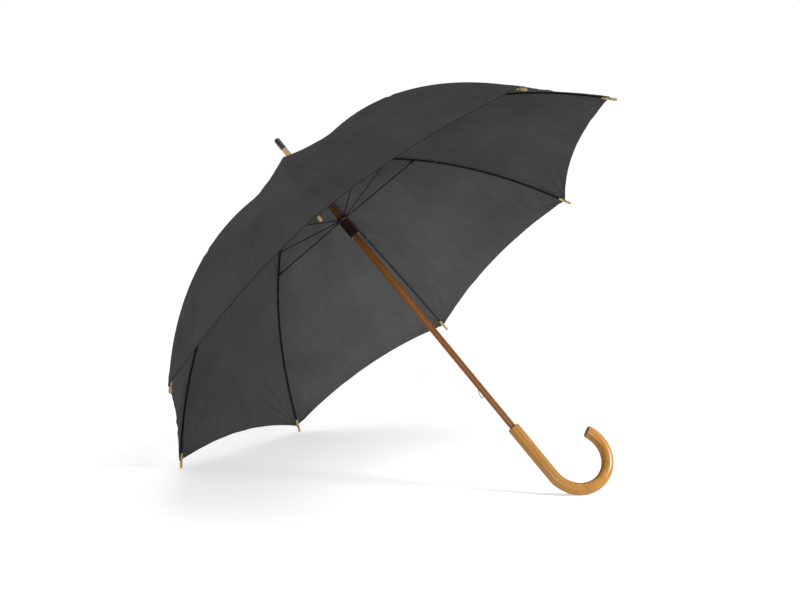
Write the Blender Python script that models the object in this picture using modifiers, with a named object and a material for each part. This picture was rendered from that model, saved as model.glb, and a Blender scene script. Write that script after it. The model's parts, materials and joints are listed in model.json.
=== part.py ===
"""Stick umbrella, open and lying on its side.

A varnished wooden shaft carries a capped ferrule, a crown collar, a sliding
runner with two wire catches and a crook handle. Eight fluted steel ribs hang on
the crown collar, eight stretchers join them to the runner, and each rib ends in
a peg that holds a corner of the canopy.

The umbrella is drawn about its own shaft: the ferrule's tip is the origin, +Z
points out of the ferrule, and a "station" is a distance from that tip towards
the handle. At the end it is laid down on two pegs and the crook.
"""
import math

import bmesh
import bpy
from mathutils import Matrix, Vector

MM = 0.001
GAP = 0.3 * MM  # clearance between pieces that touch

# Canopy and ribs
RIBS = 8
SECTOR = math.tau / RIBS
RIB_LENGTH = 605.2 * MM  # from the crown pivot to the peg's outer end
SLOPE_IN = math.radians(-1.5)  # slope of the open rib below level, at the crown
SLOPE_OUT = math.radians(53.4)  # and at the peg
SLOPE_POWER = 0.787
JOINT_ARC = 250.0 * MM  # arc length along the rib to the stretcher's pivot
PIVOT_RADIUS = 10.0 * MM  # both rings of pivots, from the shaft's axis
CLOTH_THICKNESS = 1.0 * MM
CLOTH_OFFSET = 2.6 * MM  # cloth above the rib's centre line
PEG_OFFSET = 3.4 * MM  # cloth above the peg's centre line
HEM_SAG = 23.0 * MM  # how far the hem curves in between two pegs
PANEL_DIP = 9.0 * MM  # how far a taut panel dips between two ribs

# Stations along the shaft
CAP_END = 25.6 * MM
CROWN = 89.4 * MM
TOP_SLOT = (194.0 * MM, 262.5 * MM)
BOTTOM_SLOT = (599.0 * MM, 641.0 * MM)
HANDLE_TOP = 709.2 * MM
BORE_END = 757.0 * MM
BEND_START = 817.5 * MM

# Sections
SHAFT_RADIUS = 5.8 * MM
FERRULE_RADIUS = 4.9 * MM
CAP_RADIUS = 5.7 * MM
CAP_BORE = 4.2 * MM  # radius of the shaft's end inside the cap
CAP_FLOOR = 7.0 * MM  # station where that end starts
SLOT_WIDTH = 2.2 * MM
SLOT_FLOOR = -2.6 * MM
HANDLE_RADIUS = 11.0 * MM
BEND_RADIUS = 57.3 * MM
BEND_ANGLE = math.radians(209.5)
COLLAR_RADIUS = 10.6 * MM
RUNNER_TUBE_RADIUS = 9.25 * MM
RUNNER_LENGTH = 42.0 * MM  # below its pivots
RUNNER_RISE = 1.9 * MM  # above its pivots
BORE_RADIUS = SHAFT_RADIUS + GAP
NOTCH_WIDTH = 2.0 * MM
NOTCH_FLOOR = 7.6 * MM  # from the shaft's axis
CLEAR = 14 * MM  # a cutter's reach, past every collar
EYE_THICKNESS = 1.2 * MM
EYE_RADIUS = 1.485 * MM
EYE_HOLE = 0.8 * MM
RING_WIRE = 0.45 * MM
RIB_WIDTH = 2.8 * MM
RIB_HEIGHT = 2.4 * MM
RIB_WALL = 0.5 * MM
RIVET_RADIUS = 0.6 * MM
STRETCHER_RADIUS = 1.2 * MM
EAR_THICKNESS = 0.5 * MM
EAR_RADIUS = 1.35 * MM
FORK_LENGTH = 16.5 * MM
EYE_SHANK = 3.2 * MM  # flat part between an eye and its rod
PEG_LENGTH = 28.0 * MM
PEG_RADIUS = 2.6 * MM
PEG_BORE = (2.1 * MM, 9.5 * MM)
SPRING_WIRE = 0.6 * MM
WINDOW_WIDTH = 3.2 * MM
WINDOW = (10.5 * MM, 38.5 * MM)  # in the runner, below its pivots

# Directions about the shaft, measured from the side that faces up
RIB_AZIMUTHS = [SECTOR * (k - 0.5) for k in range(RIBS)]
TOP_SPRING_AZIMUTH = math.radians(290)
BOTTOM_SPRING_AZIMUTH = math.radians(200)
HOOK_AZIMUTH = math.radians(52.5)


# ---------------------------------------------------------------- the rib's line
def rib_slope(arc):
    """Slope below level of the open rib, at an arc length from the crown pivot."""
    share = max(arc, 0.0) / RIB_LENGTH
    return SLOPE_IN + (SLOPE_OUT - SLOPE_IN) * share**SLOPE_POWER


def rib_point(arc):
    """Point on the rib's centre line, in the plane of a rib at azimuth 0."""
    steps = 48
    radius = PIVOT_RADIUS
    station = CROWN
    for step in range(steps):
        slope = rib_slope(arc * (step + 0.5) / steps)
        radius += math.cos(slope) * arc / steps
        station += math.sin(slope) * arc / steps
    return Vector((radius, 0, -station))


def rib_tangent(arc):
    slope = rib_slope(arc)
    return Vector((math.cos(slope), 0, -math.sin(slope)))


def rib_normal(arc):
    slope = rib_slope(arc)
    return Vector((math.sin(slope), 0, math.cos(slope)))


CROWN_PIVOT = Vector((PIVOT_RADIUS, 0, -CROWN))
STRETCHER_PIVOT = rib_point(JOINT_ARC)
RUNNER_PIVOT = Vector((PIVOT_RADIUS, 0, 2 * STRETCHER_PIVOT.z - CROWN_PIVOT.z))
LINK = (STRETCHER_PIVOT - CROWN_PIVOT).length
RUNNER = -RUNNER_PIVOT.z
INNER_END = JOINT_ARC + 2.2 * MM
OUTER_START = INNER_END + GAP
OUTER_END = RIB_LENGTH - PEG_LENGTH + PEG_BORE[1] - 0.5 * MM
FLEX_PIVOT = rib_point(INNER_END + GAP / 2) + rib_normal(INNER_END) * RIB_HEIGHT / 2
CORNER_ARC = RIB_LENGTH - PEG_LENGTH / 2


# ---------------------------------------------------------------- scene helpers
def clear_scene():
    for item in list(bpy.data.objects):
        bpy.data.objects.remove(item, do_unlink=True)
    for collection in list(bpy.data.collections):
        bpy.data.collections.remove(collection)


def new_collection(name):
    collection = bpy.data.collections.new(name)
    bpy.context.scene.collection.children.link(collection)
    return collection


def new_material(name, color, roughness, metallic=0.0):
    material = bpy.data.materials.new(name)
    material.use_nodes = True
    shader = material.node_tree.nodes["Principled BSDF"]
    shader.inputs["Base Color"].default_value = (*color, 1)
    shader.inputs["Roughness"].default_value = roughness
    shader.inputs["Metallic"].default_value = metallic
    material.diffuse_color = (*color, 1)
    return material


def evaluated_mesh(item):
    """The object's mesh with its modifiers, in the object's own coordinates."""
    depsgraph = bpy.context.evaluated_depsgraph_get()
    mesh = bpy.data.meshes.new_from_object(item.evaluated_get(depsgraph))
    work = bmesh.new()
    work.from_mesh(mesh)
    bmesh.ops.remove_doubles(work, verts=work.verts, dist=0.00001)
    work.to_mesh(mesh)
    work.free()
    return mesh


def as_mesh(item):
    """Turn a curve object, or one with modifiers, into a plain mesh object."""
    bpy.context.view_layer.update()
    mesh = evaluated_mesh(item)
    mesh.transform(item.matrix_world)
    collection = item.users_collection[0]
    name = item.name
    bpy.data.objects.remove(item, do_unlink=True)
    solid = bpy.data.objects.new(name, mesh)
    collection.objects.link(solid)
    return solid


def shade_round(mesh):
    mesh.shade_smooth()
    mesh.set_sharp_from_angle(angle=math.radians(35))


def boolean(item, tool, operation="DIFFERENCE"):
    modifier = item.modifiers.new(tool.name, "BOOLEAN")
    modifier.operation = operation
    modifier.object = tool
    modifier.solver = "EXACT"
    tool.hide_render = True
    tool.display_type = "WIRE"


def turned(name, profile, segments, collection):
    """A body of revolution from (radius, station) pairs; a ring closes on itself."""
    points = [(radius, 0, -station) for radius, station in profile]
    edges = [(index, index + 1) for index in range(len(points) - 1)]
    if profile[0][0] > 0:
        edges.append((len(points) - 1, 0))
    mesh = bpy.data.meshes.new(name)
    mesh.from_pydata(points, edges, [])
    item = bpy.data.objects.new(name, mesh)
    collection.objects.link(item)
    screw = item.modifiers.new("Turn", "SCREW")
    screw.axis = "Z"
    screw.steps = segments
    screw.render_steps = segments
    screw.use_merge_vertices = True
    screw.merge_threshold = 0.00001
    screw.use_smooth_shade = True
    return item


def wire(name, points, radius, collection, resolution=2, radii=None):
    """A round rod or tube along a line of points."""
    curve = bpy.data.curves.new(name, "CURVE")
    curve.dimensions = "3D"
    curve.bevel_depth = radius
    curve.bevel_resolution = resolution
    curve.use_fill_caps = True
    spline = curve.splines.new("POLY")
    spline.points.add(len(points) - 1)
    for index, point in enumerate(points):
        spline.points[index].co = (*point, 1)
        spline.points[index].radius = radii[index] if radii else 1.0
    item = bpy.data.objects.new(name, curve)
    collection.objects.link(item)
    return item


def plate(name, outlines, thickness, collection):
    """A flat plate in the XZ plane, from its outline and the outlines of its holes."""
    curve = bpy.data.curves.new(name, "CURVE")
    curve.dimensions = "2D"
    curve.fill_mode = "BOTH"
    curve.extrude = thickness / 2
    for outline in outlines:
        spline = curve.splines.new("POLY")
        spline.points.add(len(outline) - 1)
        for point, (x, z) in zip(spline.points, outline):
            point.co = (x, z, 0, 1)
        spline.use_cyclic_u = True
    item = bpy.data.objects.new(name, curve)
    item.rotation_euler.x = math.pi / 2
    collection.objects.link(item)
    return as_mesh(item)


def box(name, low, high, collection):
    mesh = bpy.data.meshes.new(name)
    work = bmesh.new()
    bmesh.ops.create_cube(work, size=1)
    work.to_mesh(mesh)
    work.free()
    size = Vector(high) - Vector(low)
    middle = (Vector(high) + Vector(low)) / 2
    mesh.transform(Matrix.Translation(middle) @ Matrix.Diagonal((*size, 1)))
    item = bpy.data.objects.new(name, mesh)
    collection.objects.link(item)
    return item


def cross_pin(name, radius, width, at, collection):
    """A short cylinder along Y, centred on a point."""
    mesh = bpy.data.meshes.new(name)
    work = bmesh.new()
    bmesh.ops.create_cone(
        work, cap_ends=True, segments=8, radius1=radius, radius2=radius, depth=width
    )
    work.to_mesh(mesh)
    work.free()
    mesh.transform(Matrix.Translation(at) @ Matrix.Rotation(math.pi / 2, 4, "X"))
    item = bpy.data.objects.new(name, mesh)
    collection.objects.link(item)
    return item


def circle(radius, count, middle=(0, 0)):
    angles = [math.tau * step / count for step in range(count)]
    return [
        (middle[0] + radius * math.cos(angle), middle[1] + radius * math.sin(angle))
        for angle in angles
    ]


def round_end(radius, length, count=6):
    """A strap outline: half round about the origin, straight sides along +X."""
    arc = [math.pi / 2 + math.pi * step / count for step in range(count + 1)]
    outline = [(radius * math.cos(angle), radius * math.sin(angle)) for angle in arc]
    return outline + [(length, -radius), (length, radius)]


def union(pieces, name):
    """One mesh from several overlapping solids; the pieces are used up."""
    body = pieces[0]
    for piece in pieces[1:]:
        boolean(body, piece, "UNION")
    mesh = evaluated_mesh(body)
    mesh.name = name
    for piece in pieces:
        bpy.data.objects.remove(piece, do_unlink=True)
    return mesh


def add_part(name, mesh, material, pivot=Vector((0, 0, 0)), azimuth=0.0, smooth=True):
    """Place a mesh drawn in the plane of azimuth 0, with its origin on a pivot."""
    if smooth:
        shade_round(mesh)
    mesh.materials.clear()
    mesh.materials.append(material)
    item = bpy.data.objects.new(name, mesh)
    item.rotation_euler.z = azimuth
    item.location = Matrix.Rotation(azimuth, 3, "Z") @ pivot
    item.parent = LYING
    PARTS.objects.link(item)
    return item


def adopt(item, material, azimuth=0.0):
    """Make a finished object one of the umbrella's parts, in place."""
    item.data.materials.clear()
    item.data.materials.append(material)
    item.rotation_euler.z = azimuth
    item.parent = LYING
    return item


def add_ring_of(name, mesh, material, pivot):
    """Eight copies of a mesh about the shaft, one for each rib."""
    mesh.transform(Matrix.Translation(-pivot))
    for index, azimuth in enumerate(RIB_AZIMUTHS):
        add_part(f"{name}_{index + 1}", mesh, material, pivot, azimuth)


# ---------------------------------------------------------------- stick
def make_shaft(wood):
    profile = [
        (0, CAP_FLOOR),
        (CAP_BORE, CAP_FLOOR),
        (CAP_BORE, CAP_END - 0.4 * MM),
        (FERRULE_RADIUS, CAP_END + GAP),
        (SHAFT_RADIUS, CROWN - 14 * MM),
        (SHAFT_RADIUS, BORE_END),
        (0, BORE_END),
    ]
    shaft = adopt(turned("shaft", profile, 24, PARTS), wood)
    slots = (
        ("top_slot", TOP_SLOT, TOP_SPRING_AZIMUTH),
        ("bottom_slot", BOTTOM_SLOT, BOTTOM_SPRING_AZIMUTH),
    )
    for name, (start, end), azimuth in slots:
        low = (SLOT_FLOOR, -SLOT_WIDTH / 2, -end)
        high = (2 * SHAFT_RADIUS, SLOT_WIDTH / 2, -start)
        slot = box(name, low, high, CUTTERS)
        slot.rotation_euler.z = azimuth
        slot.parent = LYING
        boolean(shaft, slot)


def make_ferrule_cap(plastic):
    profile = [
        (0, 0),
        (2.6 * MM, 0),
        (4.3 * MM, 0.7 * MM),
        (5.3 * MM, 2.4 * MM),
        (CAP_RADIUS, 5.0 * MM),
        (CAP_RADIUS, CAP_END - 1.0 * MM),
        (CAP_RADIUS - 0.5 * MM, CAP_END),
        (CAP_BORE + GAP, CAP_END - 0.7 * MM),
        (CAP_BORE + GAP, CAP_FLOOR - GAP),
        (0, CAP_FLOOR - GAP),
    ]
    adopt(turned("ferrule_cap", profile, 20, PARTS), plastic)


def cut_notches(item, station, start, end):
    """Cut eight radial notches and the groove of the ring wire into a collar."""
    for index, azimuth in enumerate(RIB_AZIMUTHS):
        low = (NOTCH_FLOOR, -NOTCH_WIDTH / 2, -end)
        high = (CLEAR, NOTCH_WIDTH / 2, -start)
        notch = box(f"{item.name}_notch_{index + 1}", low, high, CUTTERS)
        notch.rotation_euler.z = azimuth
        notch.parent = LYING
        boolean(item, notch)
    reach = RING_WIRE + 0.25 * MM
    groove_profile = [
        (CLEAR, station - reach),
        (CLEAR, station + reach),
        (PIVOT_RADIUS - reach, station + reach),
        (PIVOT_RADIUS - reach, station - reach),
    ]
    groove = turned(f"{item.name}_groove", groove_profile, 24, CUTTERS)
    groove.parent = LYING
    boolean(item, groove)


def make_crown_collar(plastic):
    top = CROWN - 1.2 * MM
    bottom = CROWN + 6.0 * MM
    profile = [
        (COLLAR_RADIUS, top),
        (COLLAR_RADIUS, CROWN + 2.3 * MM),
        (NOTCH_FLOOR + 0.4 * MM, CROWN + 2.3 * MM),
        (NOTCH_FLOOR, bottom),
        (BORE_RADIUS, bottom),
        (BORE_RADIUS, top),
    ]
    collar = adopt(turned("crown_collar", profile, 24, PARTS), plastic)
    cut_notches(collar, CROWN, top - MM, bottom + MM)


def make_rosette(plastic):
    base = CROWN - CLOTH_OFFSET - CLOTH_THICKNESS - 2 * GAP
    profile = [
        (7.4 * MM, base - 7.0 * MM),
        (8.6 * MM, base - 5.5 * MM),
        (10.8 * MM, base - 1.2 * MM),
        (11.0 * MM, base),
        (BORE_RADIUS, base),
        (BORE_RADIUS, base - 7.0 * MM),
    ]
    adopt(turned("crown_rosette", profile, 24, PARTS), plastic)


def make_ring_wire(name, station, steel):
    count = 6
    section = [
        (PIVOT_RADIUS + RING_WIRE * math.cos(angle), station + RING_WIRE * math.sin(angle))
        for angle in (math.tau * step / count for step in range(count))
    ]
    adopt(turned(name, section, 24, PARTS), steel)


def make_runner(plastic):
    top = RUNNER - RUNNER_RISE
    bottom = RUNNER + RUNNER_LENGTH
    profile = [
        (COLLAR_RADIUS - 0.5 * MM, top),
        (COLLAR_RADIUS, top + 0.5 * MM),
        (COLLAR_RADIUS, RUNNER + 4.0 * MM),
        (RUNNER_TUBE_RADIUS, RUNNER + 5.5 * MM),
        (RUNNER_TUBE_RADIUS, bottom - 0.8 * MM),
        (RUNNER_TUBE_RADIUS - 0.8 * MM, bottom),
        (BORE_RADIUS, bottom),
        (BORE_RADIUS, top),
    ]
    runner = adopt(turned("runner", profile, 24, PARTS), plastic)
    cut_notches(runner, RUNNER, top - MM, RUNNER + 2.0 * MM)
    low = (0, -WINDOW_WIDTH / 2, -RUNNER - WINDOW[1])
    high = (CLEAR, WINDOW_WIDTH / 2, -RUNNER - WINDOW[0])
    window = box("runner_window", low, high, CUTTERS)
    window.rotation_euler.z = BOTTOM_SPRING_AZIMUTH
    window.parent = LYING
    boolean(runner, window)


def make_handle(wood):
    """The crook: a straight grip, then a bend of a little over half a turn."""
    rounding = [(0.0, 0.84), (0.8 * MM, 0.94), (2.4 * MM, 1.0)]
    stations = [(Vector((0, 0, -HANDLE_TOP - run)), share) for run, share in rounding]
    stations.append((Vector((0, 0, -(HANDLE_TOP + BEND_START) / 2)), 1.0))
    turns = 26
    ease = [(1 - run / (BEND_RADIUS * BEND_ANGLE), share) for run, share in reversed(rounding)]
    bend = [(step / turns, 1.0) for step in range(turns)] + ease
    for share_of_bend, share in bend:
        angle = BEND_ANGLE * share_of_bend
        reach = BEND_RADIUS * (1 - math.cos(angle))
        drop = BEND_START + BEND_RADIUS * math.sin(angle)
        stations.append((Vector((reach, 0, -drop)), share))
    points = [point for point, _ in stations]
    radii = [share for _, share in stations]
    handle = as_mesh(wire("handle", points, HANDLE_RADIUS, PARTS, 6, radii))
    shade_round(handle.data)
    adopt(handle, wood, HOOK_AZIMUTH)
    bore_profile = [
        (0, HANDLE_TOP - MM),
        (BORE_RADIUS, HANDLE_TOP - MM),
        (BORE_RADIUS, BORE_END + GAP),
        (0, BORE_END + GAP),
    ]
    bore = turned("handle_bore", bore_profile, 24, CUTTERS)
    bore.parent = LYING
    boolean(handle, bore)


# ---------------------------------------------------------------- catches
def make_spring(name, points, azimuth, steel):
    """A wire catch drawn as (radius, station) points, with its origin on its anchor."""
    line = [Vector((radius, 0, -station)) for radius, station in points]
    anchor = line[0]
    rod = as_mesh(wire(name, line, SPRING_WIRE, CUTTERS))
    mesh = rod.data
    bpy.data.objects.remove(rod, do_unlink=True)
    mesh.transform(Matrix.Translation(-anchor))
    add_part(name, mesh, steel, anchor, azimuth)


def make_springs(steel):
    rim = RUNNER + RUNNER_LENGTH + GAP + SPRING_WIRE
    top_line = [
        (0.5 * MM, TOP_SLOT[0] + 2.0 * MM),
        (1.0 * MM, TOP_SLOT[0] + 8.0 * MM),
        (3.2 * MM, rim - 12.0 * MM),
        (3.6 * MM, rim - 1.5 * MM),
        (4.4 * MM, rim),
        (7.4 * MM, rim),
        (8.4 * MM, rim + 0.9 * MM),
        (7.9 * MM, rim + 2.4 * MM),
        (4.0 * MM, rim + 7.6 * MM),
        (2.2 * MM, rim + 8.2 * MM),
    ]
    make_spring("top_spring", top_line, TOP_SPRING_AZIMUTH, steel)
    start = BOTTOM_SLOT[0]
    nose = 635.0 * MM
    bottom_line = [
        (0.5 * MM, start + 2.0 * MM),
        (2.6 * MM, start + 9.0 * MM),
        (4.6 * MM, nose - 19.5 * MM),
        (7.6 * MM, nose - 13.0 * MM),
        (9.9 * MM, nose - 6.0 * MM),
        (10.5 * MM, nose - 3.2 * MM),
        (10.1 * MM, nose - 1.2 * MM),
        (8.8 * MM, nose - 0.6 * MM),
        (7.0 * MM, nose - 1.4 * MM),
        (4.8 * MM, nose - 4.2 * MM),
        (2.2 * MM, nose - 5.8 * MM),
    ]
    make_spring("bottom_spring", bottom_line, BOTTOM_SPRING_AZIMUTH, steel)


# ---------------------------------------------------------------- ribs
def eye_plate(name, length):
    """A flat eye about the origin with a shank along +X."""
    outlines = [round_end(EYE_RADIUS, length), circle(EYE_HOLE, 8)]
    return plate(name, outlines, EYE_THICKNESS, CUTTERS)


def channel(name, start, end, steps):
    """The fluted rib between two arc lengths: an inverted U swept along its line."""
    half = RIB_WIDTH / 2
    inner = half - RIB_WALL
    top = RIB_HEIGHT / 2
    section = [
        (-half, -top),
        (-half, top),
        (half, top),
        (half, -top),
        (inner, -top),
        (inner, top - RIB_WALL),
        (-inner, top - RIB_WALL),
        (-inner, -top),
    ]
    work = bmesh.new()
    rings = []
    for step in range(steps + 1):
        arc = start + (end - start) * step / steps
        middle = rib_point(arc)
        up = rib_normal(arc)
        rings.append([work.verts.new(middle + Vector((0, y, 0)) + up * z) for y, z in section])
    count = len(section)
    for near, far in zip(rings, rings[1:]):
        for index in range(count):
            after = (index + 1) % count
            work.faces.new((near[index], near[after], far[after], far[index]))
    work.faces.new(reversed(rings[0]))
    work.faces.new(rings[-1])
    bmesh.ops.recalc_face_normals(work, faces=work.faces)
    mesh = bpy.data.meshes.new(name)
    work.to_mesh(mesh)
    work.free()
    item = bpy.data.objects.new(name, mesh)
    CUTTERS.objects.link(item)
    return item


def make_ribs(steel):
    body = channel("rib_channel", EYE_SHANK, INNER_END, 8)
    eye = eye_plate("rib_eye", EYE_SHANK + 5 * MM)
    eye.data.transform(Matrix.Rotation(rib_slope(EYE_SHANK), 4, "Y"))
    eye.data.transform(Matrix.Translation(CROWN_PIVOT))
    rivet = cross_pin("rivet", RIVET_RADIUS, 5.0 * MM, STRETCHER_PIVOT, CUTTERS)
    mesh = union([body, eye, rivet], "rib_inner")
    add_ring_of("rib_inner", mesh, steel, CROWN_PIVOT)
    outer = channel("rib_tail", OUTER_START, OUTER_END, 9)
    mesh = union([outer], "rib_outer")
    add_ring_of("rib_outer", mesh, steel, FLEX_PIVOT)


def make_stretchers(steel):
    """Drawn along +X from the rib's rivet at the origin to the runner's eye."""
    ear_middle = RIB_WIDTH / 2 + 0.25 * MM + EAR_THICKNESS / 2
    ear_outline = [round_end(EAR_RADIUS, FORK_LENGTH), circle(RIVET_RADIUS + 0.15 * MM, 8)]
    ears = []
    for side in (-1, 1):
        ear = plate("ear", ear_outline, EAR_THICKNESS, CUTTERS)
        ear.data.transform(Matrix.Translation((0, side * ear_middle, 0)))
        ears.append(ear)
    reach = ear_middle + 0.46 * EAR_THICKNESS
    crotch = box(
        "crotch",
        (FORK_LENGTH - 1.5 * MM, -reach, -1.1 * MM),
        (FORK_LENGTH + 2.0 * MM, reach, 1.1 * MM),
        CUTTERS,
    )
    ends = [(FORK_LENGTH + 1.0 * MM, 0, 0), (LINK - EYE_SHANK, 0, 0)]
    rod = as_mesh(wire("rod", ends, STRETCHER_RADIUS, CUTTERS))
    eye = eye_plate("stretcher_eye", EYE_SHANK + 4 * MM)
    eye.data.transform(Matrix.Translation((LINK, 0, 0)) @ Matrix.Rotation(math.pi, 4, "Y"))
    mesh = union([crotch, *ears, rod, eye], "stretcher")
    along = RUNNER_PIVOT - STRETCHER_PIVOT
    mesh.transform(Matrix.Rotation(math.atan2(-along.z, along.x), 4, "Y"))
    mesh.transform(Matrix.Translation(STRETCHER_PIVOT))
    add_ring_of("stretcher", mesh, steel, STRETCHER_PIVOT)


def make_pegs(wood):
    radius, depth = PEG_BORE
    profile = [
        (0, depth),
        (radius, depth),
        (radius, 0),
        (PEG_RADIUS - 0.2 * MM, 0),
        (PEG_RADIUS, 1.5 * MM),
        (PEG_RADIUS, 12.0 * MM),
        (PEG_RADIUS - 0.5 * MM, 14.0 * MM),
        (PEG_RADIUS, 16.0 * MM),
        (PEG_RADIUS, 25.0 * MM),
        (1.6 * MM, PEG_LENGTH),
        (0, PEG_LENGTH),
    ]
    peg = turned("peg", profile, 8, CUTTERS)
    mesh = evaluated_mesh(peg)
    bpy.data.objects.remove(peg, do_unlink=True)
    base = RIB_LENGTH - PEG_LENGTH
    tangent = rib_tangent(base)
    turn = Vector((0, 0, -1)).rotation_difference(tangent).to_matrix().to_4x4()
    mesh.transform(Matrix.Translation(rib_point(base)) @ turn)
    add_ring_of("peg", mesh, wood, FLEX_PIVOT)


# ---------------------------------------------------------------- canopy
def cloth_height(arc):
    """Height of the cloth's inner face above the rib's centre line."""
    ramp_start = RIB_LENGTH - PEG_LENGTH - 17 * MM
    share = min(max((arc - ramp_start) / (14 * MM), 0.0), 1.0)
    return CLOTH_OFFSET + (PEG_OFFSET - CLOTH_OFFSET) * share


def cloth_point(arc, across):
    """Point of a panel: across is 0 on the rib and 1 or -1 midway to the next one."""
    ridge = rib_point(arc) + rib_normal(arc) * cloth_height(arc)
    half = SECTOR / 2
    middle = Vector((ridge.x * math.cos(half) ** 2, ridge.x * math.cos(half) * math.sin(half), ridge.z))
    share = abs(across)
    point = ridge.lerp(middle, share)
    length_share = min(max(arc / RIB_LENGTH, 0.0), 1.0)
    dip = PANEL_DIP * math.sin(math.pi * length_share) * share * (2 - share)
    point -= Matrix.Rotation(half * share, 3, "Z") @ rib_normal(arc) * dip
    edge = GAP * 0.6 * max(0.0, share * 2 - 1)
    point -= Vector((-math.sin(half), math.cos(half), 0)) * edge
    point.y *= 1 if across >= 0 else -1
    return point


def hem_arc(across):
    share = abs(across)
    return CORNER_ARC - HEM_SAG * share * (2 - share)


def gore(name, start, end, columns, rows):
    """A piece of canopy centred on a rib; start and end give its arc lengths."""
    mesh = bpy.data.meshes.new(name)
    work = bmesh.new()
    bmesh.ops.create_grid(work, x_segments=rows, y_segments=columns, size=1)
    for vertex in work.verts:
        across = vertex.co.y
        share = (vertex.co.x + 1) / 2
        arc = start(across) + (end(across) - start(across)) * share
        vertex.co = cloth_point(arc, across)
    work.to_mesh(mesh)
    work.free()
    item = bpy.data.objects.new(name, mesh)
    CUTTERS.objects.link(item)
    solidify = item.modifiers.new("Thickness", "SOLIDIFY")
    solidify.thickness = CLOTH_THICKNESS
    solidify.offset = 1
    return union([item], name)


def make_canopy(fabric):
    split = INNER_END + GAP / 2
    inner_start = SHAFT_RADIUS - PIVOT_RADIUS + 1.4 * MM
    mesh = gore("canopy_inner", lambda _: inner_start, lambda _: split - 0.7 * GAP, 4, 5)
    add_ring_of("canopy_inner", mesh, fabric, CROWN_PIVOT)
    mesh = gore("canopy_outer", lambda _: split + 0.7 * GAP, hem_arc, 6, 6)
    add_ring_of("canopy_outer", mesh, fabric, FLEX_PIVOT)


# ---------------------------------------------------------------- lying down
def lowest(names, tilt):
    """Lowest height of some parts with the ferrule raised by the tilt."""
    turn = Matrix.Rotation(tilt - math.pi / 2, 4, "Y")
    depsgraph = bpy.context.evaluated_depsgraph_get()
    heights = []
    for name in names:
        item = PARTS.objects[name].evaluated_get(depsgraph)
        place = turn @ item.matrix_world
        heights.append(min((place @ vertex.co).z for vertex in item.data.vertices))
    return min(heights)


def lay_down():
    """Tilt the shaft until two pegs and the crook touch one level, then centre it."""
    bpy.context.view_layer.update()
    pegs = ("peg_5", "peg_6")
    low, high = math.radians(30), math.radians(60)
    for _ in range(30):
        tilt = (low + high) / 2
        if lowest(pegs, tilt) > lowest(("handle",), tilt):
            high = tilt
        else:
            low = tilt
    LYING.rotation_euler.y = tilt - math.pi / 2
    bpy.context.view_layer.update()
    depsgraph = bpy.context.evaluated_depsgraph_get()
    points = []
    for item in PARTS.objects:
        if item.type == "MESH":
            solid = item.evaluated_get(depsgraph)
            points += [solid.matrix_world @ vertex.co for vertex in solid.data.vertices]
    low_corner = Vector([min(point[axis] for point in points) for axis in range(3)])
    high_corner = Vector([max(point[axis] for point in points) for axis in range(3)])
    middle = (low_corner + high_corner) / 2
    LYING.location = (-middle.x, -middle.y, -low_corner.z)
    bpy.context.view_layer.update()


clear_scene()
PARTS = new_collection("stick_umbrella")
CUTTERS = new_collection("cutters")
LYING = bpy.data.objects.new("lying", None)
PARTS.objects.link(LYING)

shaft_wood = new_material("shaft_wood", (0.42, 0.17, 0.035), 0.35)
handle_wood = new_material("handle_wood", (0.50, 0.23, 0.055), 0.28)
peg_wood = new_material("peg_wood", (0.62, 0.42, 0.20), 0.4)
cap_plastic = new_material("cap_plastic", (0.02, 0.012, 0.018), 0.25)
runner_plastic = new_material("runner_plastic", (0.035, 0.012, 0.014), 0.35)
black_steel = new_material("black_steel", (0.015, 0.015, 0.017), 0.4, 0.6)
bright_steel = new_material("bright_steel", (0.25, 0.25, 0.27), 0.3, 1.0)
black_cloth = new_material("black_cloth", (0.045, 0.045, 0.048), 0.85)

make_shaft(shaft_wood)
make_ferrule_cap(cap_plastic)
make_crown_collar(runner_plastic)
make_rosette(cap_plastic)
make_ring_wire("crown_wire", CROWN, bright_steel)
make_runner(runner_plastic)
make_ring_wire("runner_wire", RUNNER, bright_steel)
make_handle(handle_wood)
make_springs(bright_steel)
make_ribs(black_steel)
make_stretchers(black_steel)
make_pegs(peg_wood)
make_canopy(black_cloth)
lay_down()
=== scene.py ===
"""Looks of the stick umbrella: cloth, wood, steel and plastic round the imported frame.

Shapes are drawn about the umbrella's own shaft, as the CAD is: the ferrule's tip is
the origin, +Z points out of the ferrule, a "station" is a distance from that tip
towards the handle, and azimuth 0 is the side of the shaft that faces up. LYING
carries them into the frame, and is worked out from the frame's own hinges.
"""
import json
import math

import bmesh
import bpy
import numpy as np
from mathutils import Matrix, Vector


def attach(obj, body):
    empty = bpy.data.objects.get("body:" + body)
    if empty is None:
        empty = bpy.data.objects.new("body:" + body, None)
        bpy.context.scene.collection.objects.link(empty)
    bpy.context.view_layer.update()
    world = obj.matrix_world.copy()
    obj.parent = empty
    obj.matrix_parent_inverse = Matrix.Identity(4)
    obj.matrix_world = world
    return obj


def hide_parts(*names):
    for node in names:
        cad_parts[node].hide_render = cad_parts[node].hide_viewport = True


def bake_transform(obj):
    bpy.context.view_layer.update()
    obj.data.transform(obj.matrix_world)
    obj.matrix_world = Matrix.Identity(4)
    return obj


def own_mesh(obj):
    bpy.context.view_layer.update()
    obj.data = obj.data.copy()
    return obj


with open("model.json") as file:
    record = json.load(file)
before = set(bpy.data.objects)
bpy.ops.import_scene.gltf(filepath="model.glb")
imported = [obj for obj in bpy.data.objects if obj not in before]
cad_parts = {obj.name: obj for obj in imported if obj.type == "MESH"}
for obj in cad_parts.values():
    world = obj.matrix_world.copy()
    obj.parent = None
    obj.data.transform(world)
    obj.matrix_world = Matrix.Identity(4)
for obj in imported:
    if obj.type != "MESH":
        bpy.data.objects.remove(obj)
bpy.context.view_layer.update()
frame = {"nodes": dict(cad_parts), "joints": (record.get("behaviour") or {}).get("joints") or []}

MM = 0.001
RIBS = 8
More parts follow.
